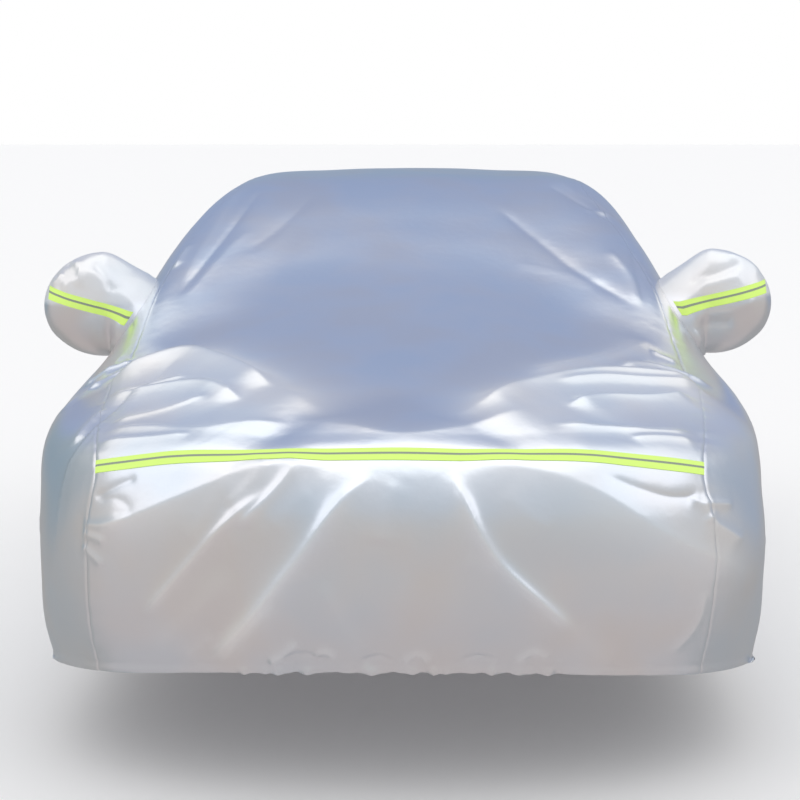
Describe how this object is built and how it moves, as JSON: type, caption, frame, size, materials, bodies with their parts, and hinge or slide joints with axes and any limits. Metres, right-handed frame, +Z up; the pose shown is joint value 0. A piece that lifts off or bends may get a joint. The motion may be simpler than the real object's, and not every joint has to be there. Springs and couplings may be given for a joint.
{
  "type": "fitted cloth car cover",
  "caption": "Fitted saloon car cover in coated cloth: centre panel, side panels, mirror pockets and fluorescent tapes, stretched in its fitted shape.",
  "frame": {"origin": "under the top of the roof, on the centre line, 2 mm below the cloth, where the car's roof holds the cover up", "axes": "+Y runs to the rear and the front faces -Y, +Z is up, +X is to the right of someone who looks at the front"},
  "size_m": [2.184, 4.7473, 1.2541],
  "materials": {
    "coated_cloth": "silver metallised coating, satin sheen",
    "fluorescent_tape": "matt fluorescent weave with a grey reflective line"
  },
  "bodies": {
    "root": {"centre_panel": "coated_cloth", "side_panel_left": "coated_cloth", "side_panel_right": "coated_cloth", "mirror_pocket_left": "coated_cloth", "mirror_pocket_right": "coated_cloth", "bonnet_tape": "fluorescent_tape", "mirror_tape_left": "fluorescent_tape", "mirror_tape_right": "fluorescent_tape"}
  },
  "joints": []
}
